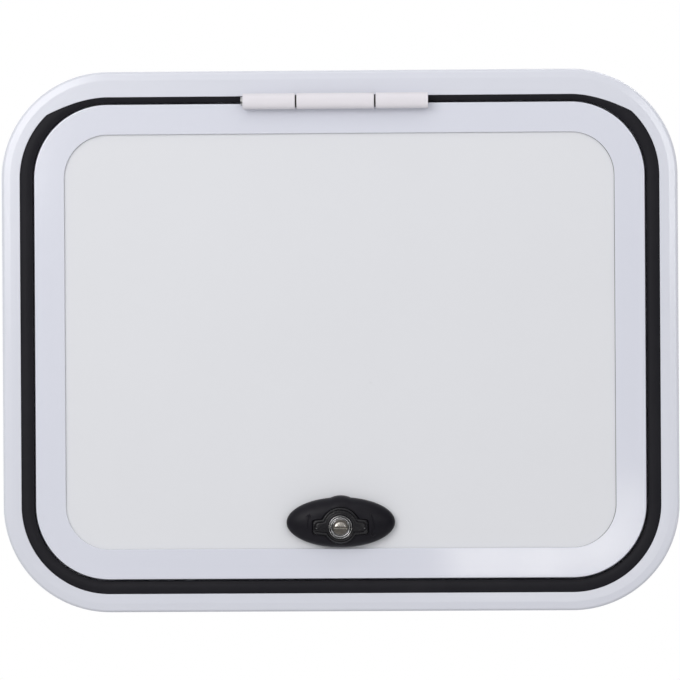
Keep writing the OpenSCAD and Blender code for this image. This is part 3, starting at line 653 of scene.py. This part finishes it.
def ridge(path, wide, high, lift_by=0.0, steps=8):
    """A raised line on the dome: an ellipse, wide across and high ahead of the surface, carried along a path
    with its ends drawn in; each point is the path plus the normal times the ellipse's cosine."""
    path = np.asarray(path, float)
    run = np.gradient(path, axis=0)
    normal = np.stack([-run[:, 1], run[:, 0]], -1) / np.linalg.norm(run, axis=1, keepdims=True)
    angle = np.linspace(0, 2 * math.pi, steps, endpoint=False)
    taper = np.ones(len(path))
    taper[0] = taper[-1] = 0.5
    flat = path[:, None] + normal[:, None] * (np.cos(angle) * wide / 2)[None, :, None] * taper[:, None, None]
    front = dome_front(flat[..., 0], flat[..., 1]) + lift_by + np.sin(angle) * high * taper[:, None]
    return on_wall(flat[..., 0], flat[..., 1] + lock_up, front)


def arc(centre, r, start, stop, steps=18):
    """Points on a circle's arc: its centre plus r times the direction at even angles, given in degrees."""
    angle = np.radians(np.linspace(start, stop, steps))
    return np.stack([centre[0] + r * np.cos(angle), centre[1] + r * np.sin(angle)], -1)


def arrow(r, start, stop):
    """A turning arrow round the lock's axis: an arc and two short barbs at its end."""
    tip = arc((0, 0), r, stop, stop, 1)[0]
    heading = math.radians(stop + (90 if stop > start else -90))
    lines = [arc((0, 0), r, start, stop)]
    for way in (heading + barb_turn, heading - barb_turn):
        lines.append(np.linspace(tip, tip - barb_long * np.array([math.cos(way), math.sin(way)]), 6))
    return lines


arrows = [(ridge(line, arrow_w, arrow_h), True) for line in arrow(24.6, 186, 157) + arrow(24.4, 24, -17)]
piece("lock_arrows", arrows, "leaf", black_plastic)
signs = []
for side, swung in ((-1, 1.0), (1, 0.0)):
    cx, cy = side * 17.6, -1.3
    corners = [(cx - 1.6, cy - 1.2), (cx - 1.6, cy + 1.1), (cx + 1.6, cy + 1.1), (cx + 1.6, cy - 1.2)]
    lines = [np.linspace(corners[k], corners[(k + 1) % 4], 6) for k in range(4)]
    lines += [arc((cx + swung * 1.3, cy + 1.2), 1.0, 0, 180), np.linspace((side * 12.7, -1.6), (side * 12.7, -0.2), 5)]
    signs += [(ridge(line, sign_w, sign_h, mark_lift), True) for line in lines]
piece("lock_signs", signs, "leaf", insert_plastic)
print_grey = finish_with("print_grey", moulded_plastic, {"Color": (0.14, 0.14, 0.145, 1), "Grain": 0.1,
                         "Roughness": 0.4})
dot_w, dot_h = 0.9, 0.35
dots = [(ridge(np.linspace((x - 0.45, -0.9), (x + 0.45, -0.8), 4), dot_w, dot_h, mark_lift), True)
        for x in (-17.7, 17.7)]
piece("lock_dots", dots, "leaf", print_grey)

# Key cylinder: a chromed zinc body, turned with two V-grooves in its face ring and threaded behind the leaf. In
# it sits the plug: its upper half a rounded land, its lower half a shutter behind a lip, with worn nickel plate,
# the land and the lip in a brighter copy of it as painted highlight.
chrome = finish_with("chrome", worked_metal, {"Color": (0.60, 0.60, 0.61, 1), "Dull": (0.48, 0.48, 0.485, 1),
                     "Stretch": (900, 900, 900), "Scratch": 0.01, "Roughness": 0.02}, Metallic=1.0)
plug_metal = finish_with("plug_metal", worked_metal, {"Color": (0.20, 0.185, 0.168, 1), "Dull": (0.11, 0.10, 0.09, 1),
                         "Stretch": (500, 900, 4200), "Scratch": 0.5, "Roughness": 0.22}, Metallic=1.0)
# Painted highlight: the metal of the land and the lip is the plug's worn nickel at about two and a half times its
# brightness.
land_metal = finish_with("land_metal", worked_metal, {"Color": (0.50, 0.475, 0.44, 1), "Dull": (0.28, 0.26, 0.235, 1),
                         "Stretch": (500, 900, 2600), "Scratch": 0.3, "Roughness": 0.12}, Metallic=1.0)
plug_bore, barrel_r, head_r, barrel_back = 5.55, 7.5, 8.5, -26.7
thread_back, thread_front, thread_deep, thread_pitch = -26.2, -12.5, 0.28, 1.25
turned = [(plug_bore, barrel_back), (7.2, barrel_back), (barrel_r, barrel_back + 0.3)]
turned += [(barrel_r, f) for f in np.linspace(thread_back, thread_front, 115)]
turned += [(barrel_r, pocket_floor), (head_r, pocket_floor), (head_r, 18.75), (8.47, 18.84), (8.4, 18.88),
           (8.1, 18.88), (8.03, 18.83), (7.73, 16.4), (7.43, 18.5), (7.4, 18.95), (7.3, 19.3), (7.1, 19.53),
           (6.9, 19.6), (6.7, 19.56), (6.5, 19.4), (6.35, 19.1), (6.28, 18.7), (6.13, 17.6), (5.98, 18.6),
           (5.9, 18.85), (5.78, 18.9), (5.64, 18.8), (plug_bore, 18.5)]
r, f = np.array(turned).T[..., None]
cut = np.where((r == barrel_r) & (f > thread_back - 0.1) & (f < thread_front + 0.1), thread_deep, 0.0)
spin = np.linspace(0, 2 * math.pi, 128, endpoint=False)
r = r - cut * (0.5 + 0.5 * np.cos(2 * math.pi * f / thread_pitch - spin))
turning = on_wall(r * np.cos(spin), r * np.sin(spin) + lock_up, f)
cylinder = piece("lock_barrel_turning", [(turning, False)], "leaf", chrome)
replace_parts(cylinder, "lock_barrel")
dress("key_plug", plug_metal)
dress("key_shutter", plug_metal)
land_flat, land_top, land_least = 0.3, 18.6, 18.4
bow = np.linspace(0, math.pi, 40)
land = np.concatenate([np.stack([4.5 * np.cos(bow), 0.35 + 4.2 * np.sin(bow)], -1),
                       np.stack([np.linspace(-4.4, 4.4, 24), np.full(24, land_flat)], -1)])
size = np.array([1.0, 1.0, 0.97, 0.9, 0.78, 0.6, 0.38, 0.15])[:, None]
height = np.array([18.5, 18.65, 18.85, 19.05, 19.2, 19.3, 19.34, 19.35])[:, None]
middle = np.array([0.0, 1.2])
pillow = middle + (land - middle) * size[..., None]
height = np.maximum(height - 0.2 * (pillow[..., 1] - land_flat) * (height > land_top), land_least)
land_loops = on_wall(pillow[..., 0], pillow[..., 1] + lock_up, height)
piece("key_plug_land", [(land_loops, True)], "lock", land_metal)
# The lip takes the brighter metal too: a painted highlight along it.
lip_half = 5.1
lip = slab((-lip_half, lock_up - 1.5, 17.7), (lip_half, lock_up - 0.5, 18.35), 0.2)
piece("key_shutter_lip", [(lip, True)], "lock", land_metal)

# Fastenings behind the leaf: a zinc-plated washer and a chamfered nut clamp the lock on the inner skin,
# and the flat cam is held on the plug's square by a washer and a screw.
zinc = finish_with("zinc", worked_metal, {"Color": (0.60, 0.60, 0.58, 1), "Dull": (0.44, 0.44, 0.43, 1),
                   "Stretch": (500, 900, 900), "Scratch": 0.3, "Roughness": 0.3}, Metallic=1.0)


def hexagon_nut(across, bore, back, front, chamfer=0.9):
    """A nut: its radius is the hexagon's, apothem over the cosine of the angle from the nearest flat's middle,
    cut to a cone that opens by 1.7 for each mm from either face."""
    thick = front - back
    off = (spin + math.pi / 6) % (math.pi / 3) - math.pi / 6
    depth = np.concatenate([[0], np.linspace(0, chamfer, 7), [thick - chamfer],
                            np.linspace(thick - chamfer, thick, 7), [thick]])[:, None]
    cone = across / 2 * 0.97 + 1.7 * np.minimum(depth, thick - depth)
    reach = np.minimum(across / 2 / np.cos(off), cone)
    reach[[0, -1]] = bore
    return on_wall(reach * np.cos(spin), reach * np.sin(spin) + lock_up, back + depth)


nut_across, nut_bore, nut_back, nut_front = 22.0, 7.52, -18.7, -13.7
nut_loops = hexagon_nut(nut_across, nut_bore, nut_back, nut_front)
nut = piece("lock_nut_hexagon", [(nut_loops, False)], "leaf", zinc)
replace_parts(nut, "lock_nut")
for node in ("lock_washer", "cam", "cam_washer", "cam_screw"):
    dress(node, zinc)
